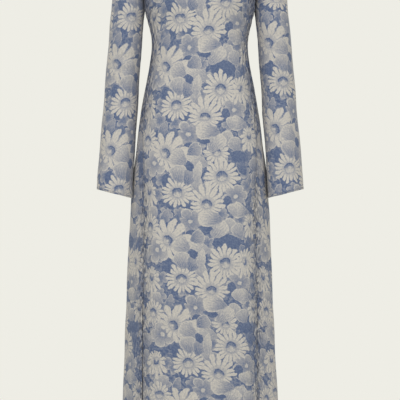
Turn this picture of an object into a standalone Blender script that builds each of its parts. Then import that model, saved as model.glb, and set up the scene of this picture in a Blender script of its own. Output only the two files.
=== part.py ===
"""A long-sleeved maxi dress of thin printed cloth, in the hollow form that it has when it is worn.

The origin is midway between the shoulders, at the height of the cloth's rest on them. +Z is up, the front
faces -Y and the wearer's left is +X. Each piece that a maker cuts is an open surface, lofted through sections
or rings, and Solidify gives it its wall. Front, back and binding are lofted on the left half and mirrored.
Neck, cuffs, armholes and hem are open.
"""

import math

import bpy
import numpy as np

# Cloth and seams, in metres
WALL = 0.0015
SEAM_GAP = 0.0004
ARMHOLE_GAP = 0.0020
BINDING_GAP = 0.0009
BINDING_HEIGHT = 0.010
BINDING_WALL = 0.0024
MERGE = 0.00001

# Faces each way. A half panel's columns end at the neckline, at the shoulder seam or at the armhole.
NECK_COLUMNS = 5
SHOULDER_COLUMNS = 3
ARMHOLE_COLUMNS = 8
HALF_COLUMNS = NECK_COLUMNS + SHOULDER_COLUMNS + ARMHOLE_COLUMNS
LOWER_ROWS = 20
UPPER_ROWS = 7
ARM_ROWS = 11
CAP_ROWS = 5
SECTION_POINTS = 241

# The body from the hem up to the bust: height, half width, depth before and behind its widest line, that
# line's y, and the side seam's share of the half width
BODY_PROFILE = (
    (-1.4500, 0.1995, 0.125, 0.130, -0.010, 0.730),
    (-1.2500, 0.1915, 0.122, 0.125, -0.010, 0.755),
    (-1.0000, 0.1820, 0.118, 0.120, -0.010, 0.790),
    (-0.8500, 0.1765, 0.115, 0.118, -0.011, 0.805),
    (-0.7500, 0.1718, 0.112, 0.118, -0.012, 0.825),
    (-0.6875, 0.1670, 0.109, 0.119, -0.011, 0.850),
    (-0.6250, 0.1590, 0.105, 0.120, -0.010, 0.893),
    (-0.5700, 0.1520, 0.100, 0.120, -0.009, 0.930),
    (-0.5300, 0.1460, 0.096, 0.117, -0.007, 0.955),
    (-0.4900, 0.1390, 0.093, 0.110, -0.005, 0.970),
    (-0.4500, 0.1315, 0.090, 0.101, -0.003, 0.980),
    (-0.4100, 0.1240, 0.087, 0.091, -0.001, 0.983),
    (-0.3700, 0.1195, 0.085, 0.082, 0.000, 0.985),
    (-0.3500, 0.1200, 0.085, 0.079, 0.000, 0.987),
    (-0.3300, 0.1235, 0.086, 0.078, 0.000, 0.989),
    (-0.3100, 0.1285, 0.088, 0.079, 0.001, 0.991),
    (-0.2900, 0.1330, 0.092, 0.080, 0.002, 0.993),
    (-0.2600, 0.1370, 0.098, 0.084, 0.003, 0.996),
    (-0.2450, 0.1378, 0.100, 0.086, 0.004, 0.998),
)
ROUNDNESS = 2.2

# The soft trough along each side seam of the skirt: its depth, the share of it at the seam and at the columns
# beside it, and the heights where it starts and is at its full depth
SEAM_FOLD = 0.005
SEAM_FOLD_SHAPE = (1.0, 0.5, 0.12)
SEAM_FOLD_TOP_Z = -0.56
SEAM_FOLD_FULL_Z = -0.80

# The bust, as a soft fullness on the front
BUST_Z = -0.2500
BUST_X = 0.074
BUST_RISE = 0.014
BUST_WIDTH = 0.048
BUST_HEIGHT = 0.055

# Neck, shoulders and armhole. Falls are the neckline's depth and drop from the neck point at its middle.
NECK_POINT = (0.078, 0.012, 0.0225)
NECK_FRONT_FALL = (-0.086, -0.088)
NECK_BACK_FALL = (0.050, -0.016)
SHOULDER_TIP = (0.184, 0.004, -0.0225)
SHOULDER_ARCH = 0.003
UNDERARM = (0.1392, 0.004, -0.2120)
ARMHOLE_FRONT = -0.052
ARMHOLE_BACK = 0.056
ARMHOLE_HOLLOW = 0.016
ARMHOLE_SAG = 0.22

# The direction in which a panel's columns reach its top edge, by the column's share of the half panel
FRONT_REACH = (
    (0.00, 0.00, 0.25, 0.97),
    (0.16, 0.00, 0.45, 0.89),
    (0.31, 0.02, 0.80, 0.60),
    (0.50, 0.50, 0.70, 0.45),
    (0.62, 0.75, 0.35, 0.55),
    (0.75, 0.60, 0.10, 0.80),
    (0.88, 0.30, 0.00, 0.95),
    (1.00, 0.02, 0.00, 1.00),
)
BACK_REACH = (
    (0.00, 0.00, -0.30, 0.95),
    (0.16, 0.00, -0.50, 0.87),
    (0.31, 0.02, -0.80, 0.60),
    (0.50, 0.50, -0.70, 0.45),
    (0.62, 0.75, -0.35, 0.55),
    (0.75, 0.60, -0.10, 0.80),
    (0.88, 0.30, 0.00, 0.95),
    (1.00, 0.02, 0.00, 1.00),
)
TOP_PULL = 0.65

# The sleeve from the cuff up: height, centre x, centre y, half width, half depth, and the ring's tilt in degrees
SLEEVE_PROFILE = (
    (-0.7340, 0.2118, -0.049, 0.0450, 0.0500, 14.0),
    (-0.7000, 0.2106, -0.043, 0.0446, 0.0490, 11.0),
    (-0.6500, 0.2078, -0.034, 0.0438, 0.0480, 7.0),
    (-0.5900, 0.2034, -0.023, 0.0432, 0.0475, 5.0),
    (-0.5300, 0.1988, -0.013, 0.0428, 0.0475, 5.0),
    (-0.4700, 0.1954, -0.005, 0.0422, 0.0480, 4.0),
    (-0.4100, 0.1912, 0.001, 0.0418, 0.0490, 4.0),
    (-0.3500, 0.1864, 0.005, 0.0414, 0.0500, 3.0),
    (-0.3100, 0.1832, 0.007, 0.0416, 0.0510, 3.0),
    (-0.2900, 0.1813, 0.008, 0.0413, 0.0515, 3.0),
    (-0.2600, 0.1800, 0.009, 0.0402, 0.0520, 2.0),
)

PRINT_BLUE = (0.36, 0.39, 0.46, 1.0)
BINDING_BLUE = (0.16, 0.21, 0.35, 1.0)
CLOTH_ROUGHNESS = 0.85


def unit(vectors):
    return vectors / np.linalg.norm(vectors, axis=-1, keepdims=True)


def smooth_step(low, high, value):
    t = np.clip((value - low) / (high - low), 0, 1)
    return t * t * (3 - 2 * t)


def hermite(start, end, leave, reach, t):
    """The point at t from 0 to 1 on the curve that leaves start and reaches end with these tangents."""
    rise = t * t * (3 - 2 * t)
    return (
        start * (1 - rise)
        + end * rise
        + leave * (t * (1 - t) ** 2)
        - reach * (t * t * (1 - t))
    )


def follow(profile, height):
    """The profile's other columns at a height, on a smooth curve through its rows."""
    rows = np.array(profile)
    level, values = rows[:, 0], rows[:, 1:]
    slope = np.gradient(values, level, axis=0)
    i = int(np.clip(np.searchsorted(level, height) - 1, 0, len(level) - 2))
    step = level[i + 1] - level[i]
    t = (height - level[i]) / step
    return hermite(values[i], values[i + 1], slope[i] * step, slope[i + 1] * step, t)


def spread(line, count):
    """count + 1 points evenly spaced along a line of points."""
    along = np.concatenate([[0], np.cumsum(np.linalg.norm(np.diff(line, axis=0), axis=1))])
    at = np.linspace(0, along[-1], count + 1)
    return np.stack([np.interp(at, along, line[:, k]) for k in range(3)], axis=1)


def body_rows(height):
    """A level row of the left half: front from its middle to the side seam, back from the seam to its middle."""
    half, front, back, middle, share = follow(BODY_PROFILE, height)
    power = 2 / ROUNDNESS
    seam = -math.acos(min(share, 1) ** (1 / power))
    rows = []
    for start, end in ((-0.5 * math.pi, seam), (seam, 0.5 * math.pi)):
        turn = np.linspace(start, end, SECTION_POINTS)
        c, s = np.maximum(np.cos(turn), 0), np.sin(turn)
        x = half * c**power
        y = middle + np.where(s < 0, front, back) * np.sign(s) * np.abs(s) ** power
        mound = np.exp(-(((x - BUST_X) / BUST_WIDTH) ** 2) - ((height - BUST_Z) / BUST_HEIGHT) ** 2)
        y -= BUST_RISE * mound * smooth_step(0, 0.5, -s)
        rows.append(spread(np.stack([x, y, np.full_like(x, height)], axis=1), HALF_COLUMNS))
    fold = SEAM_FOLD * (1 - smooth_step(SEAM_FOLD_FULL_Z, SEAM_FOLD_TOP_Z, height))
    inward = fold * np.array([-math.cos(seam), -math.sin(seam), 0.0])
    for away, part in enumerate(SEAM_FOLD_SHAPE):
        rows[0][-1 - away] += inward * part
        rows[1][away] += inward * part
    return rows


def top_edge(fall, depth):
    """The left half panel's top edge: neckline from its middle, shoulder seam, then armhole down to the seam."""
    neck, tip, under = np.array(NECK_POINT), np.array(SHOULDER_TIP), np.array(UNDERARM)
    turn = np.linspace(0, 0.5 * math.pi, NECK_COLUMNS + 1)
    neckline = np.stack(
        [
            neck[0] * np.sin(turn),
            neck[1] + fall[0] * np.cos(turn),
            neck[2] + fall[1] * np.cos(turn),
        ],
        axis=1,
    )
    share = np.linspace(0, 1, SHOULDER_COLUMNS + 1)[:, None]
    shoulder = neck + (tip - neck) * share
    shoulder[:, 2] += SHOULDER_ARCH * np.sin(math.pi * share[:, 0])
    turn = np.linspace(0, math.pi, ARMHOLE_COLUMNS + 1)[:, None]
    drop = 0.5 - 0.5 * np.cos(turn)
    armhole = tip + (under - tip) * drop
    armhole[:, 0] -= ARMHOLE_HOLLOW * np.sin(turn[:, 0]) ** 2
    armhole[:, 1] += depth * (np.sin(turn) * (1 - ARMHOLE_SAG * np.cos(turn)))[:, 0]
    return np.concatenate([neckline, shoulder[1:], armhole[1:]])


def upper_rows(below, base, edge, reach):
    """Rows from the bust row up to the top edge, each column on a curve that continues the rows below."""
    length = np.linalg.norm(edge - base, axis=1, keepdims=True)
    leaving = unit(base - below) * length
    shares = np.linspace(0, 1, HALF_COLUMNS + 1)
    reaching = unit(np.array([follow(reach, share) for share in shares])) * length * TOP_PULL
    return [hermite(base, edge, leaving, reaching, t) for t in np.linspace(0, 1, UPPER_ROWS + 1)[1:]]


def body_panels():
    """The left halves of front and back, as grids of points with rows upwards and columns anticlockwise."""
    low, high = BODY_PROFILE[0][0], BODY_PROFILE[-1][0]
    share = np.linspace(0, 1, LOWER_ROWS + 1)
    heights = low + (high - low) * (1 - (1 - share) ** 1.5)
    rows = [body_rows(height) for height in heights]
    front = [row[0] for row in rows]
    back = [row[1][::-1] for row in rows]
    front += upper_rows(front[-2], front[-1], top_edge(NECK_FRONT_FALL, ARMHOLE_FRONT), FRONT_REACH)
    back += upper_rows(back[-2], back[-1], top_edge(NECK_BACK_FALL, ARMHOLE_BACK), BACK_REACH)
    return np.stack(front), np.stack(back)[:, ::-1]


def arm_ring(height, angle):
    """A tilted oval ring round the left arm. Angle 0 is outside, and a half turn on is under the arm."""
    x, y, wide, deep, tilt = follow(SLEEVE_PROFILE, height)
    tilt = math.radians(tilt)
    out = wide * np.cos(angle)
    return np.stack(
        [
            x + out * math.cos(tilt),
            y + deep * np.sin(angle),
            height + out * math.sin(tilt),
        ],
        axis=1,
    )


def sleeve_grid(front, back):
    """The left sleeve, rows upwards from the cuff to the armhole, columns from the shoulder tip round the back."""
    armhole = slice(HALF_COLUMNS - ARMHOLE_COLUMNS, HALF_COLUMNS + 1)
    up_front = front[-1, armhole][::-1]
    down_back = back[-1, ::-1][armhole]
    loop = np.concatenate([down_back, up_front[1:-1]]) + [ARMHOLE_GAP, 0, 0]
    angle = np.linspace(0, 2 * math.pi, len(loop) + 1)[:-1]
    low, high = SLEEVE_PROFILE[0][0], SLEEVE_PROFILE[-1][0]
    rings = [arm_ring(height, angle) for height in np.linspace(low, high, ARM_ROWS + 1)]
    base = rings[-1]
    length = np.linalg.norm(loop - base, axis=1, keepdims=True)
    under = 0.5 - 0.5 * np.cos(angle)[:, None]
    over_shoulder = np.array([-0.90, 0.0, 0.44])
    beside_body = np.array([-0.10, 0.0, 1.0])
    reaching = unit(over_shoulder * (1 - under) + beside_body * under) * length
    leaving = unit(base - rings[-2]) * length
    rings += [hermite(base, loop, leaving, reaching, t) for t in np.linspace(0, 1, CAP_ROWS + 1)[1:]]
    return np.stack(rings)


def grid_normals(grid):
    """Outward unit normals of a grid with columns anticlockwise seen from above and rows upwards."""
    return unit(np.cross(np.gradient(grid, axis=1), np.gradient(grid, axis=0)))


def place_key(point):
    return tuple(np.round(point * 1e5).astype(int))


def seam_normals(grids):
    """For each place, the sum of the normals of the panels that meet there."""
    total = {}
    for grid in grids:
        for point, normal in zip(grid.reshape(-1, 3), grid_normals(grid).reshape(-1, 3)):
            key = place_key(point)
            total[key] = total.get(key, 0) + normal
    return total


def pull_in(border, inner, normal, shared, breaks=()):
    """How far a border moves into its panel, for its wall to keep half the gap at the plane that halves the seam.

    Its direction is taken for each stretch between the breaks by itself, so that a corner follows the seam."""
    along = unit(np.concatenate([np.gradient(part, axis=0) for part in np.split(border, breaks)]))
    into = inner - border
    into = unit(into - along * np.sum(into * along, axis=1, keepdims=True))
    away = unit(into - shared * np.sum(into * shared, axis=1, keepdims=True))
    lean = WALL * np.sum(normal * away, axis=1, keepdims=True)
    room = 0.5 * SEAM_GAP + np.maximum(lean, 0)
    return into * room / np.sum(into * away, axis=1, keepdims=True)


def with_gaps(grid, normals_at, side, beside, shoulder_start):
    """The grid with its top edge and its side pulled in, for the gaps at its seams."""
    own = grid_normals(grid)
    shared = unit(np.array([normals_at[place_key(p)] for p in grid.reshape(-1, 3)])).reshape(grid.shape)
    breaks = (shoulder_start, shoulder_start + SHOULDER_COLUMNS + 1)
    moved = grid.copy()
    moved[-1] += pull_in(grid[-1], grid[-2], own[-1], shared[-1], breaks)
    moved[:, side] += pull_in(grid[:, side], grid[:, beside], own[:, side], shared[:, side])
    return moved


def cloth_material(name, colour):
    material = bpy.data.materials.new(name)
    material.use_nodes = True
    shader = material.node_tree.nodes["Principled BSDF"]
    shader.inputs["Base Color"].default_value = colour
    shader.inputs["Roughness"].default_value = CLOTH_ROUGHNESS
    shader.inputs["Metallic"].default_value = 0.0
    material.diffuse_color = colour
    return material


def cloth_object(name, grid, closed, mirrored, wall, material, collection):
    """An object for a grid of points, with Mirror for the other half if it has one, and Solidify inwards."""
    rows, columns = grid.shape[:2]
    number = np.arange(rows * columns).reshape(rows, columns)
    if closed:
        number = np.concatenate([number, number[:, :1]], axis=1)
    low, high = number[:-1], number[1:]
    faces = np.stack([low[:, :-1], low[:, 1:], high[:, 1:], high[:, :-1]], axis=-1)
    mesh = bpy.data.meshes.new(name)
    mesh.from_pydata(grid.reshape(-1, 3).tolist(), [], faces.reshape(-1, 4).tolist())
    mesh.materials.append(material)
    mesh.shade_smooth()
    piece = bpy.data.objects.new(name, mesh)
    collection.objects.link(piece)
    if mirrored:
        mirror = piece.modifiers.new("Other half", "MIRROR")
        mirror.use_axis = (True, False, False)
        mirror.use_clip = True
        mirror.merge_threshold = MERGE
    solidify = piece.modifiers.new("Wall", "SOLIDIFY")
    solidify.thickness = wall
    solidify.offset = -1
    solidify.use_even_offset = False
    return piece


def binding_grid(front, back):
    """The left half of the neck binding, a narrow band that stands up from the neckline."""
    neck = slice(0, NECK_COLUMNS + 1)
    front_edge, back_edge = front[-1, neck], back[-1, ::-1][neck][::-1]
    edge = np.concatenate([front_edge, back_edge[1:]])
    below = np.concatenate([front[-2, neck], back[-2, ::-1][neck][::-1][1:]])
    along = np.gradient(edge, axis=0)
    along[0] = along[-1] = (1, 0, 0)
    along = unit(along)
    up = edge - below
    up = unit(up - along * np.sum(up * along, axis=1, keepdims=True))
    up[[0, -1], 0] = 0
    return np.stack([edge + up * BINDING_GAP, edge + up * (BINDING_GAP + BINDING_HEIGHT)])


def main():
    for leftover in list(bpy.data.objects):
        bpy.data.objects.remove(leftover)
    collection = bpy.data.collections.new("maxi_dress")
    bpy.context.scene.collection.children.link(collection)
    printed = cloth_material("printed_cloth", PRINT_BLUE)
    bound = cloth_material("neck_binding_cloth", BINDING_BLUE)

    front, back = body_panels()
    normals_at = seam_normals((front, back))
    front_panel = with_gaps(front, normals_at, -1, -2, NECK_COLUMNS)
    back_panel = with_gaps(back, normals_at, 0, 1, ARMHOLE_COLUMNS)
    sleeve = sleeve_grid(front, back)
    other_sleeve = (sleeve * [-1, 1, 1])[:, ::-1]
    cloth_object("front", front_panel, False, True, WALL, printed, collection)
    cloth_object("back", back_panel, False, True, WALL, printed, collection)
    cloth_object("sleeve_left", sleeve, True, False, WALL, printed, collection)
    cloth_object("sleeve_right", other_sleeve, True, False, WALL, printed, collection)
    binding = binding_grid(front, back)
    cloth_object("neck_binding", binding, False, True, BINDING_WALL, bound, collection)


main()
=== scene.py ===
import math

import bpy
import numpy as np
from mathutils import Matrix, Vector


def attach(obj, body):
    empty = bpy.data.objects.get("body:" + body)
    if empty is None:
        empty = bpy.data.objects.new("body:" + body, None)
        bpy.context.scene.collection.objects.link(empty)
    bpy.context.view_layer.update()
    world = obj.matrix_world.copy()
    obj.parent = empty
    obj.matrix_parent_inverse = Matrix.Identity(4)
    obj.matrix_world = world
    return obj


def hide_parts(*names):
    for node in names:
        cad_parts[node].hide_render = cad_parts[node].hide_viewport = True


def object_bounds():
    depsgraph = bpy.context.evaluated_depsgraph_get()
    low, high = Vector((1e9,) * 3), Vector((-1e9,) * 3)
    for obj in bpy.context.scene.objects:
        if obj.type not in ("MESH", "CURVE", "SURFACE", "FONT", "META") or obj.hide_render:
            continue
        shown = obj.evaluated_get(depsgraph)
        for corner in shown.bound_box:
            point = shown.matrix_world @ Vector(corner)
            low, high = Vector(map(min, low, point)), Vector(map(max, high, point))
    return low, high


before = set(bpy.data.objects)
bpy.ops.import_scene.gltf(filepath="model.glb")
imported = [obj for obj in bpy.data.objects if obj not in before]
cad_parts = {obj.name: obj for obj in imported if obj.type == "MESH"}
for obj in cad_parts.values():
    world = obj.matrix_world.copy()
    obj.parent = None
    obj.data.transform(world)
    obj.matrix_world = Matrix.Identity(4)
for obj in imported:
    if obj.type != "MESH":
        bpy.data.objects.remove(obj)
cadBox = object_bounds()
print("frame loaded")


def unit(vectors):  # each vector divided by its length
    return vectors / np.linalg.norm(vectors, axis=-1, keepdims=True)


def ease(low, high, value):  # 0 below low, 1 above high, 3t^2 - 2t^3 between them
    t = np.clip((value - low) / (high - low), 0, 1)
    return t * t * (3 - 2 * t)


def hill(value, centre, width):  # exp(-((value - centre) / width)^2)
    return np.exp(-(((value - centre) / width) ** 2))


def bend(start, end, leave, reach, t):  # cubic from start to end with these tangents at its ends
    rise = t * t * (3 - 2 * t)
    return start * (1 - rise) + end * rise + leave * (t * (1 - t) ** 2) - reach * (t * t * (1 - t))


def follow(profile, heights):  # the profile's other columns at each height, on a cubic through its rows
    rows = np.array(profile)
    level, values = rows[:, 0], rows[:, 1:]
    slope = np.gradient(values, level, axis=0)
    i = np.clip(np.searchsorted(level, heights) - 1, 0, len(level) - 2)
    step = (level[i + 1] - level[i])[:, None]
    t = (heights - level[i])[:, None] / step
    return bend(values[i], values[i + 1], slope[i] * step, slope[i + 1] * step, t)


def along(line):  # distance along each row of points, from its first point
    steps = np.linalg.norm(np.diff(line, axis=-2), axis=-1)
    return np.concatenate([np.zeros_like(steps[..., :1]), np.cumsum(steps, axis=-1)], axis=-1)


def spread(rows, count):  # count + 1 points evenly spaced along each row
    spaced = []
    for row, distance in zip(rows, along(rows)):
        at = np.linspace(0, distance[-1], count + 1)
        spaced.append(np.stack([np.interp(at, distance, row[:, k]) for k in range(3)], axis=1))
    return np.stack(spaced)


def normals(grid):  # cross product of the ways along the columns and up the rows, which points outwards
    return unit(np.cross(np.gradient(grid, axis=1), np.gradient(grid, axis=0)))


dress = {
    # height, half width, depth before and behind the widest line, that line's y,
    # and the side seam's share of the half width
    "body": (
        (-1.4500, 0.1995, 0.125, 0.130, -0.010, 0.730),
        (-1.2500, 0.1915, 0.122, 0.125, -0.010, 0.755),
        (-1.0000, 0.1820, 0.118, 0.120, -0.010, 0.790),
        (-0.8500, 0.1765, 0.115, 0.118, -0.011, 0.805),
        (-0.7500, 0.1718, 0.112, 0.118, -0.012, 0.825),
        (-0.6875, 0.1670, 0.109, 0.119, -0.011, 0.850),
        (-0.6250, 0.1590, 0.105, 0.120, -0.010, 0.893),
        (-0.5700, 0.1520, 0.100, 0.120, -0.009, 0.930),
        (-0.5300, 0.1460, 0.096, 0.117, -0.007, 0.955),
        (-0.4900, 0.1390, 0.093, 0.110, -0.005, 0.970),
        (-0.4500, 0.1315, 0.090, 0.101, -0.003, 0.980),
        (-0.4100, 0.1240, 0.087, 0.091, -0.001, 0.983),
        (-0.3700, 0.1195, 0.085, 0.082, 0.000, 0.985),
        (-0.3500, 0.1200, 0.085, 0.079, 0.000, 0.987),
        (-0.3300, 0.1235, 0.086, 0.078, 0.000, 0.989),
        (-0.3100, 0.1285, 0.088, 0.079, 0.001, 0.991),
        (-0.2900, 0.1330, 0.092, 0.080, 0.002, 0.993),
        (-0.2600, 0.1370, 0.098, 0.084, 0.003, 0.996),
        (-0.2450, 0.1378, 0.100, 0.086, 0.004, 0.998),
    ),
    "roundness": 2.2,
    "bust": {"x": 0.074, "z": -0.25, "rise": 0.014, "width": 0.048, "height": 0.055},
    "seamTrough": {"depth": 0.005, "width": 0.022, "top": -0.56, "full": -0.80},
    "neckPoint": (0.078, 0.012, 0.0225),
    "shoulderTip": (0.184, 0.004, -0.0225),
    "shoulderArch": 0.003,
    "underarm": (0.1392, 0.004, -0.2120),
    "armholeHollow": 0.016,
    "armholeSag": 0.22,
    # how many of a half panel's 16 broad columns end at the neckline, the shoulder seam and the armhole
    "columns": (5, 3, 8),
    "levelCrowding": 1.3,
    "topPull": 0.65,
    # fall of the neckline at its middle (y, z), armhole's bow, grid columns in a broad one, rows below and
    # above the bust, and the way a column reaches the top edge: its share of the columns, then x, y, z
    "front": {
        "fall": (-0.086, -0.088), "bow": -0.052, "fine": 5, "lowerRows": 224, "upperRows": 56,
        "reach": (
            (0.00, 0.00, 0.25, 0.97), (0.16, 0.00, 0.45, 0.89),
            (0.31, 0.02, 0.80, 0.60), (0.50, 0.50, 0.70, 0.45),
            (0.62, 0.75, 0.35, 0.55), (0.75, 0.60, 0.10, 0.80),
            (0.88, 0.30, 0.00, 0.95), (1.00, 0.02, 0.00, 1.00),
        ),
    },
    "back": {
        "fall": (0.050, -0.016), "bow": 0.056, "fine": 5, "lowerRows": 200, "upperRows": 50,
        "reach": (
            (0.00, 0.00, -0.30, 0.95), (0.16, 0.00, -0.50, 0.87),
            (0.31, 0.02, -0.80, 0.60), (0.50, 0.50, -0.70, 0.45),
            (0.62, 0.75, -0.35, 0.55), (0.75, 0.60, -0.10, 0.80),
            (0.88, 0.30, 0.00, 0.95), (1.00, 0.02, 0.00, 1.00),
        ),
    },
    "wall": 0.0008,
    "seamGap": 0.0003,
}

sleeve = {
    # height, centre x, centre y, half width, half depth, the ring's tilt in degrees
    "profile": (
        (-0.7340, 0.2118, -0.049, 0.0450, 0.0500, 14.0),
        (-0.7000, 0.2106, -0.043, 0.0446, 0.0490, 11.0),
        (-0.6500, 0.2078, -0.034, 0.0438, 0.0480, 7.0),
        (-0.5900, 0.2034, -0.023, 0.0432, 0.0475, 5.0),
        (-0.5300, 0.1988, -0.013, 0.0428, 0.0475, 5.0),
        (-0.4700, 0.1954, -0.005, 0.0422, 0.0480, 4.0),
        (-0.4100, 0.1912, 0.001, 0.0418, 0.0490, 4.0),
        (-0.3500, 0.1864, 0.005, 0.0414, 0.0500, 3.0),
        (-0.3100, 0.1832, 0.007, 0.0416, 0.0510, 3.0),
        (-0.2900, 0.1813, 0.008, 0.0413, 0.0515, 3.0),
        (-0.2600, 0.1800, 0.009, 0.0402, 0.0520, 2.0),
    ),
    # grid columns in each of the armhole's broad ones, rows up the arm and rows in the cap
    "fine": 6, "armRows": 150, "capRows": 50,
    "armholeGap": 0.0012,
    # the way the cap reaches the armhole, over the shoulder and beside the body
    "overShoulder": (-0.90, 0.0, 0.44),
    "besideBody": (-0.10, 0.0, 1.0),
}


def levelRows(heights, side, count):
    # the body's level rows: x = half width * cos^(2/n), y = middle + depth * sin^(2/n), the front's from its
    # middle to the side seam and the back's from the seam to its middle; then the bust and the seam's trough
    half, front, back, middle, share = follow(dress["body"], heights).T[:, :, None]
    power = 2 / dress["roundness"]
    seam = -np.arccos(np.minimum(share, 1) ** (1 / power))
    start, end = (-math.pi / 2, seam) if side == "front" else (seam, math.pi / 2)
    turn = start + (end - start) * np.linspace(0, 1, 361)
    c, s = np.maximum(np.cos(turn), 0), np.sin(turn)
    x = half * c**power
    y = middle + np.where(s < 0, front, back) * np.sign(s) * np.abs(s) ** power
    bust = dress["bust"]
    mound = hill(x, bust["x"], bust["width"]) * hill(heights[:, None], bust["z"], bust["height"])
    y = y - bust["rise"] * mound * ease(0, 0.5, -s)
    z = np.broadcast_to(heights[:, None], x.shape)
    rows = spread(np.stack([x, y, z], axis=-1), count)
    trough = dress["seamTrough"]
    distance = along(rows)
    if side == "front":
        distance = distance[:, -1:] - distance
    depth = trough["depth"] * (1 - ease(trough["full"], trough["top"], heights))[:, None]
    depth = depth * hill(distance, 0, trough["width"])
    rows[..., 0] -= depth * np.cos(seam)
    rows[..., 1] -= depth * np.sin(seam)
    return rows


def topEdge(side, fine):
    # neckline as a quarter oval, a straight shoulder with a slight arch, and a hollowed armhole
    neck, tip, under = (np.array(dress[name]) for name in ("neckPoint", "shoulderTip", "underarm"))
    fall, bow = dress[side]["fall"], dress[side]["bow"]
    neckColumns, shoulderColumns, armholeColumns = (fine * n for n in dress["columns"])
    turn = np.linspace(0, math.pi / 2, neckColumns + 1)
    x = neck[0] * np.sin(turn)
    neckline = np.stack([x, neck[1] + fall[0] * np.cos(turn), neck[2] + fall[1] * np.cos(turn)], axis=1)
    share = np.linspace(0, 1, shoulderColumns + 1)[:, None]
    shoulder = neck + (tip - neck) * share
    shoulder[:, 2] += dress["shoulderArch"] * np.sin(math.pi * share[:, 0])
    turn = np.linspace(0, math.pi, armholeColumns + 1)
    armhole = tip + (under - tip) * (0.5 - 0.5 * np.cos(turn))[:, None]
    armhole[:, 0] -= dress["armholeHollow"] * np.sin(turn) ** 2
    armhole[:, 1] += bow * np.sin(turn) * (1 - dress["armholeSag"] * np.cos(turn))
    return np.concatenate([neckline, shoulder[1:], armhole[1:]])


def halfPanel(side):
    # level rows up to the bust, then each column on a cubic to the top edge;
    # columns run from the middle to the seam
    cut = dress[side]
    count = cut["fine"] * sum(dress["columns"])
    low, high = dress["body"][0][0], dress["body"][-1][0]
    share = np.linspace(0, 1, cut["lowerRows"] + 1)
    risen = 1 - (1 - share) ** dress["levelCrowding"]  # rows crowd together towards the bust
    lower = levelRows(low + (high - low) * risen, side, count)
    if side == "back":
        lower = lower[:, ::-1]
    edge = topEdge(side, cut["fine"])
    below = levelRows(np.array([high - 0.004]), side, count)[0]
    below = below[::-1] if side == "back" else below
    length = np.linalg.norm(edge - lower[-1], axis=1, keepdims=True)
    leave = unit(lower[-1] - below) * length
    reach = unit(follow(cut["reach"], np.linspace(0, 1, count + 1))) * length * dress["topPull"]
    t = np.linspace(0, 1, cut["upperRows"] + 1)[1:, None, None]
    return np.concatenate([lower, bend(lower[-1], edge, leave, reach, t)])


def wholePanel(half, side):  # the half and its mirror image, columns anticlockwise seen from above
    mirrored = half * [-1, 1, 1]
    if side == "front":
        return np.concatenate([mirrored[:, :0:-1], half], axis=1)
    return np.concatenate([half[:, ::-1], mirrored[:, 1:]], axis=1)


def sleeveRings():
    # tilted oval rings up the arm, then a cubic from the top ring to the armhole; columns from under the arm
    fine = sleeve["fine"]
    armhole = slice(fine * sum(dress["columns"][:2]), None)
    upFront = topEdge("front", fine)[armhole][::-1]
    downBack = topEdge("back", fine)[armhole]
    loop = np.concatenate([downBack, upFront[1:-1]]) + [sleeve["armholeGap"], 0, 0]
    angle = np.linspace(0, 2 * math.pi, len(loop) + 1)[:-1]
    heights = np.linspace(sleeve["profile"][0][0], sleeve["profile"][-1][0], sleeve["armRows"] + 1)
    x, y, wide, deep, tilt = follow(sleeve["profile"], heights).T[:, :, None]
    out = wide * np.cos(angle)
    tilt = np.radians(tilt)
    rings = np.stack(
        [x + out * np.cos(tilt), y + deep * np.sin(angle), heights[:, None] + out * np.sin(tilt)], axis=-1
    )
    base = rings[-1]
    length = np.linalg.norm(loop - base, axis=1, keepdims=True)
    under = (0.5 - 0.5 * np.cos(angle))[:, None]
    reach = np.array(sleeve["overShoulder"]) * (1 - under) + np.array(sleeve["besideBody"]) * under
    reach = unit(reach) * length
    leave = unit(base - rings[-8]) * length
    t = np.linspace(0, 1, sleeve["capRows"] + 1)[1:, None, None]
    rings = np.concatenate([rings, bend(base, loop, leave, reach, t)])
    rings = np.roll(rings, len(loop) // 2, axis=1)
    return np.concatenate([rings, rings[:, :1]], axis=1)


def meshPiece(name, points, faces, cornerFlat, shade):
    # a smooth mesh with each face corner's place on the flat cloth and each point's painted shade
    mesh = bpy.data.meshes.new(name)
    mesh.from_pydata(points.reshape(-1, 3).tolist(), [], faces.reshape(-1, 4).tolist())
    layer = mesh.uv_layers.new(name="flatCloth")
    layer.data.foreach_set("uv", cornerFlat.astype(np.float32).ravel())
    darker = mesh.attributes.new("gathered", "FLOAT", "POINT")
    darker.data.foreach_set("value", shade.astype(np.float32).ravel())
    mesh.shade_smooth()
    piece = bpy.data.objects.new(name, mesh)
    bpy.context.scene.collection.objects.link(piece)
    return piece


def clothMesh(name, grid, flatMap, shade, closed=False):
    # a grid of points as a shell with its wall inside; a closed grid's last column is its first one again
    rows, columns = grid.shape[:2]
    kept = columns - 1 if closed else columns
    number = np.arange(rows * kept).reshape(rows, kept)
    if closed:
        number = np.concatenate([number, number[:, :1]], axis=1)

    def around(index):  # each face's four corners, anticlockwise seen from outside
        low, high = index[:-1], index[1:]
        return np.stack([low[:, :-1], low[:, 1:], high[:, 1:], high[:, :-1]], axis=-1)

    corners = around(np.arange(rows * columns).reshape(rows, columns))
    piece = meshPiece(name, grid[:, :kept], around(number), flatMap.reshape(-1, 2)[corners], shade[:, :kept])
    thickness = piece.modifiers.new("wall", "SOLIDIFY")
    thickness.thickness = dress["wall"]
    thickness.offset = -1
    thickness.use_even_offset = False
    return piece


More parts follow.
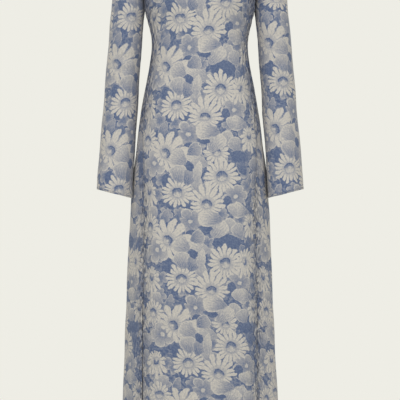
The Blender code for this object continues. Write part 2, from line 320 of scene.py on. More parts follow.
def ribbon(name, loop, places, up, out, size, shade=0.0):
    # a closed band: at each point of a closed loop, a rounded box of this height and thickness, sin^0.35 by
    # cos^0.6. places are where each stretch of the loop starts and ends on the flat cloth
    height, thickness = size
    turn = np.linspace(0, 2 * math.pi, 17)[:-1]
    rise = np.sign(np.sin(turn)) * np.abs(np.sin(turn)) ** 0.35
    swell = np.sign(np.cos(turn)) * np.abs(np.cos(turn)) ** 0.6
    grid = (
        loop[:, None]
        + up[:, None] * (height * (0.5 + 0.5 * rise))[None, :, None]
        + out[:, None] * (0.5 * thickness * (swell - 1) + hems["proud"])[None, :, None]
    )
    count, section = grid.shape[:2]
    number = np.arange(count * section).reshape(count, section)
    ahead = np.roll(number, -1, axis=0)
    faces = np.stack([number, ahead, np.roll(ahead, -1, axis=1), np.roll(number, -1, axis=1)], axis=-1)
    starts, ends = places
    across = np.linspace(0, 2 * (height + thickness), section + 1)
    corners = np.stack([starts, ends, ends, starts], axis=1)[:, None]
    raised = np.stack([across[:-1], across[:-1], across[1:], across[1:]], axis=-1)[None, :, :, None]
    return meshPiece(name, grid, faces, corners + raised * [0, 1], np.full(count * section, shade))


# how the printed cloth lies on the body: below start the print drifts sideways and is eased a little as the
# skirt falls; drawnIn is how much cloth the side seams' gathers take up
lay = {
    "start": -0.55, "length": 0.80, "sideways": 0.052, "eased": 0.036, "chestDrift": 0.012,
    "drawnIn": 0.022, "backOffset": 0.19,
}

# where the body and a sleeve swell to meet under the arm: how far, where, and over what height and width
tuck = {"swell": 0.0024, "height": -0.270, "tall": 0.016, "wide": 0.028}

panelFolds = {
    # gathers beside the side seams: spacing, depth, reach from the seam, how much further on the bodice
    "gatherSpacing": 0.0125, "gatherDepth": 0.0011, "gatherReach": 0.020, "bodiceReach": 0.014,
    # drag lines from the armholes
    "dragSpacing": 0.021, "dragDepth": 0.0013,
    # long folds of the skirt, with their phase on each side, and small ripples everywhere
    "swingWidth": 0.125, "swingDepth": 0.0035, "swingPhase": {"front": 0.7, "back": 2.1},
    "rippleDepth": 0.0012, "seamGroove": 0.0005,
}

sleeveFolds = {
    # gathers beside the seam under the arm
    "gatherSpacing": 0.012, "gatherDepth": 0.0009, "gatherReach": 0.016,
    # creases at the elbow, small ripples, and waves of the cuff
    "elbowHeight": -0.40, "creaseSpacing": 0.034, "creaseDepth": 0.0011,
    "rippleDepth": 0.0010, "flareDepth": 0.0016,
}


def wave(turns):  # sine of whole turns
    return np.sin(2 * math.pi * turns)


def clothPlace(grid, middle):
    # u = distance from the panel's middle, v = height, then distance up each column, and the print's drift
    across = along(grid)
    u = across - across[:, middle : middle + 1]
    z = grid[..., 2]
    upward = along(np.swapaxes(grid, 0, 1)).T
    bustRow = np.argmin(np.abs(z[:, middle] - dress["body"][-1][0]))
    v = np.where(np.arange(len(grid))[:, None] <= bustRow, z, z[bustRow] + upward - upward[bustRow])
    fall = np.clip((lay["start"] - z) / lay["length"], 0, None)
    drift = lay["sideways"] * fall**1.9 + lay["chestDrift"] * ease(-0.42, -0.28, z)
    return np.stack([u, v - lay["eased"] * fall**3], axis=-1), drift


def panelCloth(name, side):
    # the panel moved along its normals by sines of the distance from the side seam and of the height:
    # gathers, drag lines, long folds and ripples
    grid = wholePanel(halfPanel(side), side)
    folds = panelFolds
    flatMap, drift = clothPlace(grid, grid.shape[1] // 2)
    u, z = flatMap[..., 0].copy(), grid[..., 2]
    seam = np.abs(u[:, -1:]) - np.abs(u)  # distance to the nearer side seam
    hand = np.sign(u)
    bodice = ease(-0.62, -0.50, z) * (1 - ease(-0.23, -0.19, z))
    skirt = 1 - ease(-0.75, -0.60, z)
    wander = 0.35 * np.sin(z * 31 + hand) + 0.2 * np.sin(z * 83 + 2 * hand)
    gathers = wave(seam / folds["gatherSpacing"] + wander) * (0.6 + 0.4 * np.sin(z * 47 + 1.5 * hand))
    reach = folds["gatherReach"] + folds["bodiceReach"] * bodice
    gathered = hill(seam, 0.006, reach) * (bodice + 0.35 * skirt)
    drag = hill(seam + 0.35 * (z + 0.235), 0.02, 0.05) * hill(z, -0.27, 0.045)
    dragLines = wave((seam * 0.7 - z) / folds["dragSpacing"])
    swing = ease(0, 1, (-0.70 - z) / 0.75)
    swings = np.sin(2 * math.pi * u / folds["swingWidth"] + folds["swingPhase"][side] + 0.8 * np.sin(z * 4))
    ripples = np.sin(u * 41 + 3 * np.sin(z * 9)) * np.sin(z * 23 + u * 17) * ease(0, 0.05, seam)
    push = folds["gatherDepth"] * gathers * gathered
    push += folds["dragDepth"] * dragLines * drag
    push += folds["swingDepth"] * swing * swings
    push += folds["rippleDepth"] * ripples
    push -= folds["seamGroove"] * hill(seam, 0, 0.0025) * ease(-1.45, -1.40, z)
    push += tuck["swell"] * hill(seam, 0, tuck["wide"]) * hill(z, tuck["height"], tuck["tall"])
    free = ease(0, 0.02, dress["neckPoint"][2] - 0.02 - z) * (1 - ease(-0.20, -0.12, z))
    grid = grid + normals(grid) * (push * np.maximum(free, 1 - ease(-0.24, -0.20, z)))[..., None]
    tangent = unit(np.gradient(grid, axis=1))
    grid[:, 0] += tangent[:, 0] * dress["seamGap"] / 2
    grid[:, -1] -= tangent[:, -1] * dress["seamGap"] / 2
    # painted shade: darker in the gathers, at and beside the side seams, under the arms and between drag
    # lines; also a little darker down the skirt
    shade = gathered * (0.42 - 0.40 * gathers)
    shade += 0.35 * hill(seam, 0, 0.010) + 0.14 * skirt * hill(seam, 0, 0.04)
    shade += 0.35 * bodice * hill(seam, 0, 0.024) + 0.75 * hill(seam, 0, 0.040) * hill(z, -0.235, 0.06)
    shade += 0.08 * (1 - ease(-1.10, -0.80, z))
    shade += 0.3 * drag * (0.5 - 0.5 * dragLines)
    drawnIn = lay["drawnIn"] * (1 - ease(0, 0.045, seam)) * (bodice + 0.5 * skirt)
    flatMap[..., 0] += hand * drawnIn - drift
    if side == "back":
        flatMap[..., 0] += lay["backOffset"]
    piece = clothMesh(name, grid, flatMap, np.clip(shade, 0, 1))
    return piece, grid, flatMap


def sleeveCloth(name, hand, flatStart):
    # the sleeve moved along its normals in the same way: gathers at its seam, creases at the elbow, ripples
    # and a waved cuff. hand is 1 for the left sleeve and -1 for the right; flatStart moves the print on it
    grid = sleeveRings()
    folds = sleeveFolds
    columns = grid.shape[1]
    angle = np.linspace(-math.pi, math.pi, columns)[None]  # 0 outside, half a turn under the arm
    z = grid[..., 2]
    across = along(grid)
    front = columns // 4
    seam = np.minimum(across, across[:, -1:] - across)
    gathers = wave(seam / folds["gatherSpacing"] + 0.3 * np.sin(z * 37 + hand))
    gathered = hill(seam, 0.006, folds["gatherReach"]) * (1 - ease(-0.12, -0.08, z))
    elbow = hill(z, folds["elbowHeight"], 0.07) * hill(np.cos(angle), 0.1, 0.6)
    crease = wave((z + 0.012 * np.sin(2 * angle + hand)) / folds["creaseSpacing"])
    ripples = np.sin(3 * angle + z * 19 + hand) * np.sin(z * 29 - 2 * angle)
    flare = 1 - ease(-0.73, -0.50, z)
    push = folds["gatherDepth"] * gathers * gathered
    push += folds["creaseDepth"] * crease * elbow
    push += folds["rippleDepth"] * ripples
    push += folds["flareDepth"] * flare * np.sin(5 * angle + 1.1 * hand)
    push *= 1 - ease(-0.10, -0.06, z)
    push += tuck["swell"] * hill(seam, 0, tuck["wide"]) * hill(z, tuck["height"], tuck["tall"])
    grid = grid + normals(grid) * push[..., None]
    grid[:, -1] = grid[:, 0] = 0.5 * (grid[:, 0] + grid[:, -1])
    upward = along(np.swapaxes(grid, 0, 1)).T
    v = np.where(z < sleeve["profile"][-1][0], z, upward + (z[:1] - upward[:1]))
    u = across - across[:, front : front + 1] + 0.19
    # painted shade: darker at the seam under the arm, in its gathers and in the elbow creases, a little all
    # over, and more under the arm near the top
    shade = 0.40 * hill(seam, 0, 0.014) + gathered * (0.25 - 0.25 * gathers)
    shade += 0.12 * elbow * (0.5 - 0.5 * crease)
    shade += 0.06 + 0.35 * hill(z, -0.15, 0.08) * hill(seam, 0, 0.05)
    if hand < 0:
        grid, shade = (grid * [-1, 1, 1])[:, ::-1], shade[:, ::-1]
        u, v = -u[:, ::-1], v[:, ::-1]
    flatMap = np.stack([u + flatStart[0], v + flatStart[1]], axis=-1)
    piece = clothMesh(name, grid, flatMap, np.clip(shade, 0, 1), closed=True)
    return piece, grid, flatMap


# materials: a Wire is a socket; sums on it add Math nodes, and add() adds any other node
class Wire:
    def __init__(self, tree, socket=None):
        self.tree = tree
        self.socket = socket

    def add(self, kind, settings=None, values=None, out=0):
        node = self.tree.nodes.new(kind)
        for name, setting in (settings or {}).items():
            if name == "stops":
                for spare in list(node.color_ramp.elements)[len(setting):]:
                    node.color_ramp.elements.remove(spare)
                while len(node.color_ramp.elements) < len(setting):
                    node.color_ramp.elements.new(1.0)
                for element, (place, colour) in zip(node.color_ramp.elements, setting):
                    element.position = place
                    element.color = (*colour, 1.0)
            else:
                setattr(node, name, setting)
        for name, value in (values or {}).items():
            if isinstance(value, Wire):
                self.tree.links.new(value.socket, node.inputs[name])
            else:
                node.inputs[name].default_value = value
        return Wire(self.tree, node.outputs[out])

    def math(self, operation, *others):
        return self.add("ShaderNodeMath", {"operation": operation}, dict(enumerate([self, *others])))

    def __add__(self, other):
        return self.math("ADD", other)

    def __sub__(self, other):
        return self.math("SUBTRACT", other)

    def __mul__(self, other):
        return self.math("MULTIPLY", other)

    def __truediv__(self, other):
        return self.math("DIVIDE", other)

    def __rsub__(self, other):
        return self.add("ShaderNodeMath", {"operation": "SUBTRACT"}, {0: other, 1: self})

    def __rtruediv__(self, other):
        return self.add("ShaderNodeMath", {"operation": "DIVIDE"}, {0: other, 1: self})

    __radd__ = __add__
    __rmul__ = __mul__

    def easing(self, low, high, start=0.0, end=1.0):  # start at low, end at high, smooth between them
        # a smooth step ends at its two values by itself, so the node's clamp, which costs room, stays off
        return self.add(
            "ShaderNodeMapRange",
            {"interpolation_type": "SMOOTHSTEP", "clamp": False},
            {"Value": self, "From Min": low, "From Max": high, "To Min": start, "To Max": end},
        )

    def over(self, below, cover):  # this tone laid over another where cover is 1
        return self.add("ShaderNodeMix", {"data_type": "FLOAT"}, {0: cover, 2: below, 3: self})

    def towards(self, value, share):  # this tone where share is 0, the value where it is 1
        return self.add("ShaderNodeMix", {"data_type": "FLOAT"}, {0: share, 2: self, 3: value})

    def zigzag(self, count, start=0.0):  # from an angle: up from 0 to 0.5 and down again, count times a turn
        turns = self * (count / (2 * math.pi))
        if start:
            turns = turns + start
        return turns.math("PINGPONG", 0.5)

    def vector(self, operation, *others, out=0):
        values = dict(enumerate([self, *others]))
        return self.add("ShaderNodeVectorMath", {"operation": operation}, values, out)


# the print's repeat and its chart, in millimetres on the flat cloth, but top is a height in metres.
# Tone 0 is the blue ground and 1 the bare cream cloth. Each row of the chart is
# kind, across from the middle, down from the repeat's top, half width, half height, turn in degrees, then
#   daisy: petals, lean of the petals to their upper side, the eye's share of the width
#   blossom: petals, tone at the middle, tone at the tips
#   petal (narrow at its foot), leaf (pointed at both ends), patch (of plain ground): tone at the foot,
#   tone at the tip, outline's tone
# and at the end how many repeats there are from one to the next, and which of them has it.
# Later rows lie over earlier ones
repeat = {"width": 380.0, "height": 214.5, "top": -0.478}
chart = (
    ("blossom", -28, 112, 34, 36, 20, 5, 0.35, 0.62, 1, 0),
    ("blossom", 86, 50, 36, 32, 0, 6, 0.38, 0.66, 1, 0),
    ("blossom", 168, 112, 36, 34, 50, 5, 0.32, 0.64, 1, 0),
    ("blossom", -168, 42, 32, 36, 10, 5, 0.36, 0.66, 1, 0),
    ("blossom", -116, 182, 36, 34, 40, 5, 0.40, 0.74, 1, 0),
    ("blossom", 160, 8, 32, 28, 15, 5, 0.34, 0.62, 1, 0),
    ("leaf", -92, 100, 12, 24, -20, 0.30, 0.55, 0.85, 1, 0),
    ("petal", 66, 122, 15, 21, -15, 0.58, 0.80, 0.95, 1, 0),
    ("petal", 88, 136, 17, 20, 30, 0.55, 0.75, 0.92, 1, 0),
    ("petal", -128, 92, 20, 19, 20, 0.50, 0.76, 0.92, 1, 0),
    ("leaf", 104, 190, 15, 26, 25, 0.18, 0.35, 0.75, 1, 0),
    ("leaf", 122, 160, 13, 30, -35, 0.20, 0.40, 0.70, 1, 0),
    ("petal", 148, 185, 20, 19, 10, 0.45, 0.70, 0.90, 1, 0),
    ("petal", -166, 198, 20, 20, -20, 0.45, 0.72, 0.90, 1, 0),
    ("petal", -8, 22, 15, 25, 25, 0.55, 0.85, 0.95, 1, 0),
    ("patch", -75, 70, 10, 13, 0, 0.08, 0.14, 0.10, 1, 0),
    ("patch", -36, 68, 17, 11, 10, 0.10, 0.18, 0.14, 1, 0),
    ("patch", 64, 64, 12, 17, 0, 0.08, 0.14, 0.10, 1, 0),
    ("patch", -84, 12, 13, 19, 8, 0.06, 0.12, 0.08, 1, 0),
    ("patch", 96, 165, 20, 15, 0, 0.08, 0.16, 0.12, 2, 0),
    ("patch", -64, 113, 11, 18, -4, 0.10, 0.20, 0.24, 1, 0),
    ("patch", 100, 73, 11, 9, 0, 0.10, 0.16, 0.50, 1, 0),
    ("leaf", -30, 140, 9, 16, -60, 0.10, 0.18, 0.20, 1, 0),
    ("daisy", -138, 127, 29, 34, -10, 17, 0.10, 0.34, 1, 0),
    ("daisy", -138, 32, 27, 38, 172, 15, 0.40, 0.24, 1, 0),
    ("daisy", 172, 66, 34, 32, 30, 17, 0.05, 0.34, 1, 0),
    ("daisy", -180, 142, 30, 32, -40, 16, 0.15, 0.32, 1, 0),
    ("daisy", 127, 112, 26, 33, 190, 15, 0.40, 0.24, 1, 0),
    ("daisy", -90, 160, 48, 44, -60, 12, 0.42, 0.24, 1, 0),
    ("daisy", 41, 157, 32, 29, 5, 15, 0.05, 0.32, 2, 0),
    ("patch", 58, 163, 34, 20, 0, 0.06, 0.12, 0.10, 2, 1),
    ("petal", 96, 84, 19, 22, 80, 0.60, 0.92, 0.97, 1, 0),
    ("patch", 114, 88, 9, 8, 0, 0.35, 0.50, 0.80, 1, 0),
    ("petal", 80, 82, 16, 16, 0, 0.70, 0.88, 0.96, 1, 0),
    ("daisy", 100, -4, 38, 34, -125, 17, 0.35, 0.20, 2, 0),
    ("daisy", 52, 2, 45, 43, 0, 19, 0.12, 0.30, 1, 0),
    ("daisy", 13, 72, 43, 40, -5, 17, 0.36, 0.27, 1, 0),
    ("daisy", -58, 41, 41, 38, 8, 18, 0.04, 0.32, 1, 0),
    ("petal", 38, 130, 24, 27, -30, 0.66, 0.92, 0.95, 1, 0),
    ("leaf", -12, 176, 17, 36, 70, 0.70, 0.94, 0.95, 1, 0),
    ("petal", -53, 170, 22, 22, 60, 0.60, 0.84, 0.95, 1, 0),
    ("petal", -14, 150, 17, 19, -60, 0.40, 0.62, 0.88, 1, 0),
    ("petal", -54, 208, 21, 23, 10, 0.50, 0.80, 0.95, 1, 0),
    ("petal", -28, 216, 17, 22, -20, 0.36, 0.60, 0.84, 1, 0),
    ("leaf", -26, 190, 10, 14, 20, 0.10, 0.16, 0.20, 1, 0),
    ("leaf", -7, 206, 11, 31, -10, 0.72, 0.93, 0.96, 1, 0),
    ("leaf", 8, 127, 10, 20, 80, 0.10, 0.20, 0.26, 1, 0),
    ("petal", 20, 104, 20, 31, 88, 0.50, 0.95, 0.98, 1, 0),
)

# small leaves and then blossoms behind the chart: count in a metre, lobes, depth of the notches between them,
# tone at the middle, tone at the tips, tone of the outline
hidden = ((41.0, 4, 0.62, 0.12, 0.34, 0.46), (24.0, 5, 0.40, 0.28, 0.60, 0.76))

petals = {
    # how much an oval is drawn in at its foot; its veins' count, bends and depth of bend, and their darkness
    "narrowing": 0.42, "veins": (7, 5, 0.20), "veinAtFoot": 0.34, "veinAtTip": 0.08,
    # where the pale rim starts and is full, and how dark the shadow round it is
    "rim": (0.78, 0.94), "shadow": 0.22,
}

# notches between lobes, tones of the rim and the middle, veins in a petal and how dark they are
blossoms = {"notch": 0.40, "rim": 0.88, "middle": 0.90, "veinsInPetal": 9, "vein": 0.10}

daisies = {
    # notches between petals, unevenness of their tips, then how dark the lines between petals, the petals'
    # feet and the ribs on them are
    "notch": 0.36, "ragged": (0.05, 0.09), "line": 0.66, "shadeAtEye": 0.28, "rib": 0.12,
    # tone of the eye, and how dark its crown, its edge and its stamens are
    "eye": 0.88, "crown": 0.62, "eyeEdge": 0.34, "stamens": 0.08,
}


def placeOn(flat, motif):
    # the way from the motif's middle, wrapped to its repeat, then turned and divided by its half sizes
    across, down, wide, high = (size / 1000 for size in motif[1:5])
    turn = math.radians(motif[5])
    every, which = motif[-2:]
    tall = repeat["height"] / 1000
    middle = (across, repeat["top"] - down + tall * which, 0.0)
    half = (repeat["width"] / 2000, tall * every / 2, 1.0)
    way = flat.vector("SUBTRACT", middle).vector("WRAP", half, tuple(-h for h in half))
    c, s = math.cos(turn), math.sin(turn)
    x = way.vector("DOT_PRODUCT", (c / wide, s / wide, 0.0), out=1)
    y = way.vector("DOT_PRODUCT", (-s / high, c / high, 0.0), out=1)
    return x, y


def lengthOf(x, y):  # sqrt(x^2 + y^2)
    return x.add("ShaderNodeCombineXYZ", values={0: x, 1: y}).vector("LENGTH", out=1)


def printPetal(motif, flat, tone):
    # a petal, a leaf or a patch of ground where edge is under 1: darker at its foot, veined, pale at its rim
    foot, tip, outline = motif[6:9]
    x, y = placeOn(flat, motif)
    if motif[0] == "leaf":  # |x| + y^2
        edge = x.math("ABSOLUTE") + y * y
    elif motif[0] == "petal":  # an oval drawn in towards its foot
        edge = lengthOf(x / (y * petals["narrowing"] + 1), y)
    else:
        edge = lengthOf(x, y)
    inside = (y + x * 0.35).easing(-0.75, 0.75, foot, tip)
    rim = edge.easing(*petals["rim"])
    if motif[0] != "patch":
        count, bends, bending = petals["veins"]
        bent = (y * count + x * bends).math("SINE") * bending
        veins = (x / (y + 1.7) * count + bent).math("PINGPONG", 0.5).easing(0.15, 0.5)
        inside = inside - veins * y.easing(-0.9, 0.8, petals["veinAtFoot"], petals["veinAtTip"])
        rim = rim * (y - x * 0.6).easing(-0.7, 0.5, 0.25, 1.0)
    petal = inside.towards(outline, rim) - edge.easing(0.93, 1.0) * petals["shadow"]
    return petal.over(tone, edge.easing(1.0, 0.95))


def printBlossom(motif, flat, tone):
    # round lobes at 1 - notch * s^3, where s runs from a petal's middle to its side, each with a pale edge
    count, middle, tips = motif[6:9]
    x, y = placeOn(flat, motif)
    length = lengthOf(x, y)
    angle = y.math("ARCTAN2", x)
    side = angle.zigzag(count, motif[1] * 0.37) * 2
    edge = length / (side.math("POWER", 3.0) * -blossoms["notch"] + 1)
    veins = angle.zigzag(count * blossoms["veinsInPetal"]).easing(0.25, 0.5)
    inside = length.easing(0.12, 0.8, middle, tips) - veins * blossoms["vein"]
    rim = edge.easing(0.80, 0.92).math("MAXIMUM", side.easing(0.86, 0.98) * length.easing(0.3, 0.5) * 0.7)
    inside = inside.towards(blossoms["rim"], rim).towards(blossoms["middle"], length.easing(0.20, 0.12))
    return inside.over(tone, edge.easing(1.0, 0.96))


def printDaisy(motif, flat, tone):
    # petals: outline at 1 - notch * s^3, where s runs from a petal's middle to its side; lines between them;
    # the eye: a crown of stamens above a paler middle
    count, lean, eye = motif[6:9]
    x, y = placeOn(flat, motif)
    length = lengthOf(x, y)
    angle = y.math("ARCTAN2", x)
    reach = length / (1 + lean * (y / length))
    side = angle.zigzag(count, motif[1] * 0.37) * 2
    broad, fine = daisies["ragged"]
    ragged = (angle * 3 + motif[2]).math("SINE") * broad + (angle * 8 + motif[1]).math("SINE") * fine
    outline = (side.math("POWER", 3.0) * -daisies["notch"] + 1.0) + ragged
    cover = (outline - reach).easing(0.0, 0.07)
    line = side.easing(0.62, 1.0) * reach.easing(0.30, 0.72)
    rib = angle.zigzag(count * 3).easing(0.25, 0.5)
    shade = line * daisies["line"] + rib * daisies["rib"]
    shade = shade + reach.easing(eye + 0.26, eye) * daisies["shadeAtEye"]
    edge = reach / eye
    crown = (y / eye - edge * 0.25).easing(-0.55, 0.35, 0.0, daisies["crown"]) * edge.easing(0.15, 0.55)
    stamens = (angle * 13).math("SINE") * daisies["stamens"]
    core = daisies["eye"] - crown - edge.easing(0.70, 1.0) * daisies["eyeEdge"] - stamens
    flower = core.over(1.0 - shade, edge.easing(1.12, 0.92))
    return flower.over(tone, cover)


def noise(place, scale, detail, out=0, **others):  # out is 0 for its height and 1 for its colour
    values = {"Vector": place, "Scale": scale, "Detail": detail, **others}
    return place.add("ShaderNodeTexNoise", values=values, out=out)


def groundTone(flat, drawn):
    # blue ground, mottled, then lobed shapes at each cell's point where length is under 1 - notch * s^2.2
    tone = noise(flat, 140.0, 4.0).easing(0.32, 0.72, 0.0, 0.32)
    for density, count, notch, dark, light, rimTone in hidden:
        cell = flat.add(
            "ShaderNodeTexVoronoi",
            {"voronoi_dimensions": "2D"},
            {"Vector": flat, "Scale": density, "Randomness": 0.9},
            out=2,
        )
        seed = cell.vector("DOT_PRODUCT", (310.0, 570.0, 0.0), out=1)
        way = drawn.vector("SUBTRACT", cell)
        x = way.vector("DOT_PRODUCT", (2.1 * density, 0.0, 0.0), out=1)
        y = way.vector("DOT_PRODUCT", (0.0, 2.1 * density, 0.0), out=1)
        length = lengthOf(x, y)
        angle = y.math("ARCTAN2", x) + seed
        side = angle.zigzag(count) * 2
        edge = length / (side.math("POWER", 2.2) * -notch + 1)
        inside = length.easing(0.1, 0.9, dark, light) - angle.zigzag(count * 5).easing(0.25, 0.5) * 0.12
        rim = side.easing(0.78, 0.98) * length.easing(0.3, 0.5) * 0.7
        inside = inside.towards(rimTone, edge.easing(0.74, 0.90).math("MAXIMUM", rim))
        tone = inside.over(tone, edge.easing(1.0, 0.93))
    return tone


printKinds = {
    "daisy": printDaisy, "blossom": printBlossom,
    "petal": printPetal, "leaf": printPetal, "patch": printPetal,
}


def motifGroup(motif):
    # a motif as a group: the place on the cloth and the tone below go in, and its tone comes out
    kind = motif[0]
    group = bpy.data.node_groups.new(kind, "ShaderNodeTree")
    group.interface.new_socket("place", in_out="INPUT", socket_type="NodeSocketVector")
    group.interface.new_socket("tone", in_out="INPUT", socket_type="NodeSocketFloat")
    group.interface.new_socket("tone", in_out="OUTPUT", socket_type="NodeSocketFloat")
    entering = group.nodes.new("NodeGroupInput").outputs
    leaving = group.nodes.new("NodeGroupOutput").inputs
    tone = printKinds[kind](motif, Wire(group, entering[0]), Wire(group, entering[1]))
    group.links.new(tone.socket, leaving[0])
    return group


cloth = {
    # the print's colour by tone, then how far the painted shade of the gathers, seams and underarms darkens
    # it, and to what colour
    "stops": (
        (0.00, (0.108, 0.157, 0.300)), (0.20, (0.190, 0.240, 0.378)), (0.50, (0.380, 0.395, 0.465)),
        (0.75, (0.530, 0.525, 0.545)), (1.00, (0.750, 0.710, 0.655)),
    ),
    "gathered": (0.045, 0.062, 0.120), "paintedShadeShare": 0.85, "paintedShadeMost": 0.95,
    # how fine and how strong: the wobble of the print's edges in metres, its grain and its wash
    "wobble": (55.0, 0.012), "grain": (520.0, 0.45), "wash": (210.0, 0.65),
    # crinkles that break up the painted shade: how fine across the cloth, the share of that up it, least and
    # most darkening
    "shadeCrinkle": (230.0, 0.35, 0.25, 1.55),
    "weave": 1400.0, "roughness": 0.82, "relief": 0.35,
    "finish": {"Sheen Weight": 0.15, "Sheen Roughness": 0.6, "Specular IOR Level": 0.25},
}

bindingCloth = {
    "stops": ((0.3, (0.045, 0.062, 0.125)), (0.7, (0.11, 0.14, 0.24))),
    "grain": 700.0, "roughness": 0.8, "relief": 0.4,
    "finish": {"Sheen Weight": 0.15, "Specular IOR Level": 0.25},
}


def newCloth(name):  # a material, and the place on the flat cloth in it
    material = bpy.data.materials.new(name)
    material.use_nodes = True
    return material, Wire(material.node_tree).add("ShaderNodeUVMap", {"uv_map": "flatCloth"})


def finishCloth(material, kind, colour, relief, grain):  # colour, bump and roughness, and the plain settings
    tree = material.node_tree
    shader = tree.nodes["Principled BSDF"]
    depth = {"Strength": kind["relief"], "Distance": 0.0004, "Height": relief}
    bump = relief.add("ShaderNodeBump", values=depth)
    tree.links.new(colour.socket, shader.inputs["Base Color"])
    tree.links.new(bump.socket, shader.inputs["Normal"])
    tree.links.new((grain * 0.2 + (kind["roughness"] - 0.1)).socket, shader.inputs["Roughness"])
    for name, value in kind["finish"].items():
        shader.inputs[name].default_value = value
    return material


def printedCloth():
    # ground, the chart's motifs in turn, grain and wash make the tone; the tone makes the colour, which
    # painted shade in the gathers, at the seams and under the arms darkens in crinkles
    material, flat = newCloth("printedCloth")
    scale, wobble = cloth["wobble"]
    drawn = noise(flat, scale, 3.0, out=1, Roughness=0.64)
    drawn = drawn.vector("SUBTRACT", (0.5, 0.5, 0.5)).vector("MULTIPLY", (wobble, wobble, 0.0))
    drawn = flat.vector("ADD", drawn)
    tone = groundTone(flat, drawn)
    for motif in chart:
        tone = tone.add("ShaderNodeGroup", {"node_tree": motifGroup(motif)}, {0: drawn, 1: tone})
    scale, strength = cloth["grain"]
    grain = noise(flat, scale, 2.0)
    tone = tone + (grain - 0.5) * strength
    scale, strength = cloth["wash"]
    tone = tone + (noise(flat, scale, 3.0) - 0.5) * strength
    colour = tone.add("ShaderNodeValToRGB", {"stops": cloth["stops"]}, {"Fac": tone})
    scale, tall, least, most = cloth["shadeCrinkle"]
    shadeCrinkle = noise(flat.vector("MULTIPLY", (1.0, tall, 1.0)), scale, 3.0).easing(0.36, 0.66, least, most)
    # painted shade: the darkness laid on the pieces, broken into crinkles, mixes the colour towards navy
    gathered = flat.add("ShaderNodeAttribute", {"attribute_name": "gathered"}, out=2) * shadeCrinkle
    gathered = (gathered * cloth["paintedShadeShare"]).math("MINIMUM", cloth["paintedShadeMost"])
    colour = colour.add(
        "ShaderNodeMix", {"data_type": "RGBA"}, {0: gathered, 6: colour, 7: (*cloth["gathered"], 1.0)}, out=2
    )
    return finishCloth(material, cloth, colour, noise(flat, cloth["weave"], 1.0) + grain, grain)


def boundCloth():  # plain navy cloth with a grain
    material, flat = newCloth("boundCloth")
    grain = noise(flat, bindingCloth["grain"], 2.0)
    colour = grain.add("ShaderNodeValToRGB", {"stops": bindingCloth["stops"]}, {"Fac": grain})
    return finishCloth(material, bindingCloth, colour, grain, grain)


printed = printedCloth()
bound = boundCloth()
print("cloth materials made")

frontPanel, frontGrid, frontFlat = panelCloth("frontPanel", "front")
backPanel, backGrid, backFlat = panelCloth("backPanel", "back")
leftSleeve, leftGrid, leftFlat = sleeveCloth("leftSleeve", 1, (-0.26, -0.49))
rightSleeve, rightGrid, rightFlat = sleeveCloth("rightSleeve", -1, (0.1175, -0.0075))
print("front, back and sleeves made")

# height and thickness of each, how much darker the hems are, and how far a band stands proud of the cloth
hems = {"cuff": (0.006, 0.0014), "skirt": (0.012, 0.0014), "shade": 0.35, "proud": 0.0003}
binding = {"size": (0.0106, 0.0024), "smoothings": 6}


def edgeFrame(grid, row, inward):  # points, the way up the cloth and the way out of it, along one of its rows
    line, inner = grid[row], grid[inward]
    out = normals(grid)[row]
    up = inner - line
    return line, unit(up - out * np.sum(up * out, axis=1, keepdims=True)), out


def neckBand():
    # along both panels' necklines, with their shared points once and its directions evened out round the loop
    parts = []
    for side, grid, shared in (("front", frontGrid, 0), ("back", backGrid, 1)):
        count = dress[side]["fine"] * dress["columns"][0]
        middle = grid.shape[1] // 2
        kept = slice(middle - count + shared, middle + count + 1 - shared)
        line, down, out = edgeFrame(grid, -1, -4)
        parts.append((line[kept], -down[kept], out[kept]))
    loop, up, out = (np.concatenate(part) for part in zip(*parts))
    for smoothing in range(binding["smoothings"]):
        up = unit(up + np.roll(up, 1, axis=0) + np.roll(up, -1, axis=0))
        out = unit(out + np.roll(out, 1, axis=0) + np.roll(out, -1, axis=0))
    distance = along(np.concatenate([loop, loop[:1]]))[:, None] * [1, 0]
    return ribbon("neckBinding", loop, (distance[:-1], distance[1:]), up, out, binding["size"])


def hem(name, grids, flatMaps, size):  # a turned hem along the lowest rows of one or two pieces of cloth
    frames = [edgeFrame(grid, 0, 3) for grid in grids]
    loop, up, out = (np.concatenate([part[:-1] for part in parts]) for parts in zip(*frames))
    starts = np.concatenate([flatMap[0, :-1] for flatMap in flatMaps])
    ends = np.concatenate([flatMap[0, 1:] for flatMap in flatMaps])
    return ribbon(name, loop, (starts, ends), up, out, size, hems["shade"])


neckBinding = neckBand()
leftCuffHem = hem("leftCuffHem", [leftGrid], [leftFlat], hems["cuff"])
rightCuffHem = hem("rightCuffHem", [rightGrid], [rightFlat], hems["cuff"])
skirtHem = hem("skirtHem", [frontGrid, backGrid], [frontFlat, backFlat], hems["skirt"])
print("binding and hems made")

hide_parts("front")
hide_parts("back")
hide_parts("sleeve_left")
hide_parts("sleeve_right")
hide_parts("neck_binding")
for piece in (frontPanel, backPanel, leftSleeve, rightSleeve, leftCuffHem, rightCuffHem, skirtHem):
    piece.data.materials.append(printed)
    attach(piece, "root")
neckBinding.data.materials.append(bound)
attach(neckBinding, "root")
print("pieces declared")


# floor, light and camera
stage = {
    "floorRadius": 1.7, "floorDrop": 0.002, "floor": (0.84, 0.83, 0.78), "backdrop": (0.855, 0.847, 0.784),
    "around": 0.55, "key": 34.0, "fill": 20.0, "top": 10.0,
}


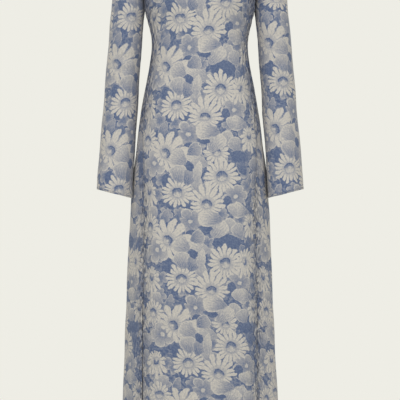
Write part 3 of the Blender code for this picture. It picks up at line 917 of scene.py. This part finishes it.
def addFloor():  # a pale disc that fades out from 0.45 of its radius
    bpy.ops.mesh.primitive_circle_add(vertices=96, radius=stage["floorRadius"], fill_type="NGON")
    floor = bpy.context.object
    floor.name = "floor"
    floor.location.z = cadBox[0][2] - stage["floorDrop"]
    material = bpy.data.materials.new("paleFloor")
    material.use_nodes = True
    tree = material.node_tree
    shader = tree.nodes["Principled BSDF"]
    shader.inputs["Base Color"].default_value = (*stage["floor"], 1.0)
    shader.inputs["Roughness"].default_value = 0.9
    shader.inputs["Specular IOR Level"].default_value = 0.1
    start = Wire(tree)
    place = start.add("ShaderNodeTexCoord", out=3)
    rim = place.vector("LENGTH", out=1).easing(0.45 * stage["floorRadius"], stage["floorRadius"])
    clear = start.add("ShaderNodeBsdfTransparent")
    mixed = start.add("ShaderNodeMixShader", values={0: rim, 1: Wire(tree, shader.outputs[0]), 2: clear})
    tree.links.new(mixed.socket, tree.nodes["Material Output"].inputs["Surface"])
    floor.data.materials.append(material)


def addSurroundings():  # a pale backdrop all round, which lights the dress less brightly than it shows
    world = bpy.data.worlds.new("studio")
    bpy.context.scene.world = world
    world.use_nodes = True
    tree = world.node_tree
    background = tree.nodes["Background"]
    start = Wire(tree)
    seen = start.add("ShaderNodeLightPath")
    strength = seen.easing(0.0, 1.0, stage["around"], 1.0)
    background.inputs["Color"].default_value = (*stage["backdrop"], 1.0)
    tree.links.new(strength.socket, background.inputs["Strength"])


def addLight(name, place, target, size, power):  # a soft rectangular light turned towards its target
    light = bpy.data.lights.new(name, "AREA")
    light.shape = "RECTANGLE"
    light.size, light.size_y = size
    light.energy = power
    lamp = bpy.data.objects.new(name, light)
    bpy.context.scene.collection.objects.link(lamp)
    lamp.location = place
    way = np.array(target) - np.array(place)
    tilt = math.acos(-way[2] / np.linalg.norm(way))
    lamp.rotation_euler = (tilt, 0, math.atan2(way[1], way[0]) - math.pi / 2)


def addCamera():  # 1 m of the dress's height fills the frame, from the chest to the calf
    view = bpy.data.cameras.new("camera")
    view.sensor_width = 36.0
    view.lens = 180.0
    camera = bpy.data.objects.new("camera", view)
    bpy.context.scene.collection.objects.link(camera)
    camera.location = (0.0005, -5.0, -0.75)
    camera.rotation_euler = (math.pi / 2, 0, 0)
    bpy.context.scene.camera = camera


addFloor()
addSurroundings()
addLight("key", (-1.6, -3.0, 1.2), (0, 0, -0.7), (1.6, 2.4), stage["key"])
addLight("fill", (1.9, -2.8, 0.2), (0, 0, -0.7), (1.6, 2.4), stage["fill"])
addLight("top", (0.0, 1.6, 1.8), (0, 0, -0.6), (2.0, 1.5), stage["top"])
addCamera()
bpy.context.scene.view_settings.view_transform = "Standard"
print("floor, light and camera placed")
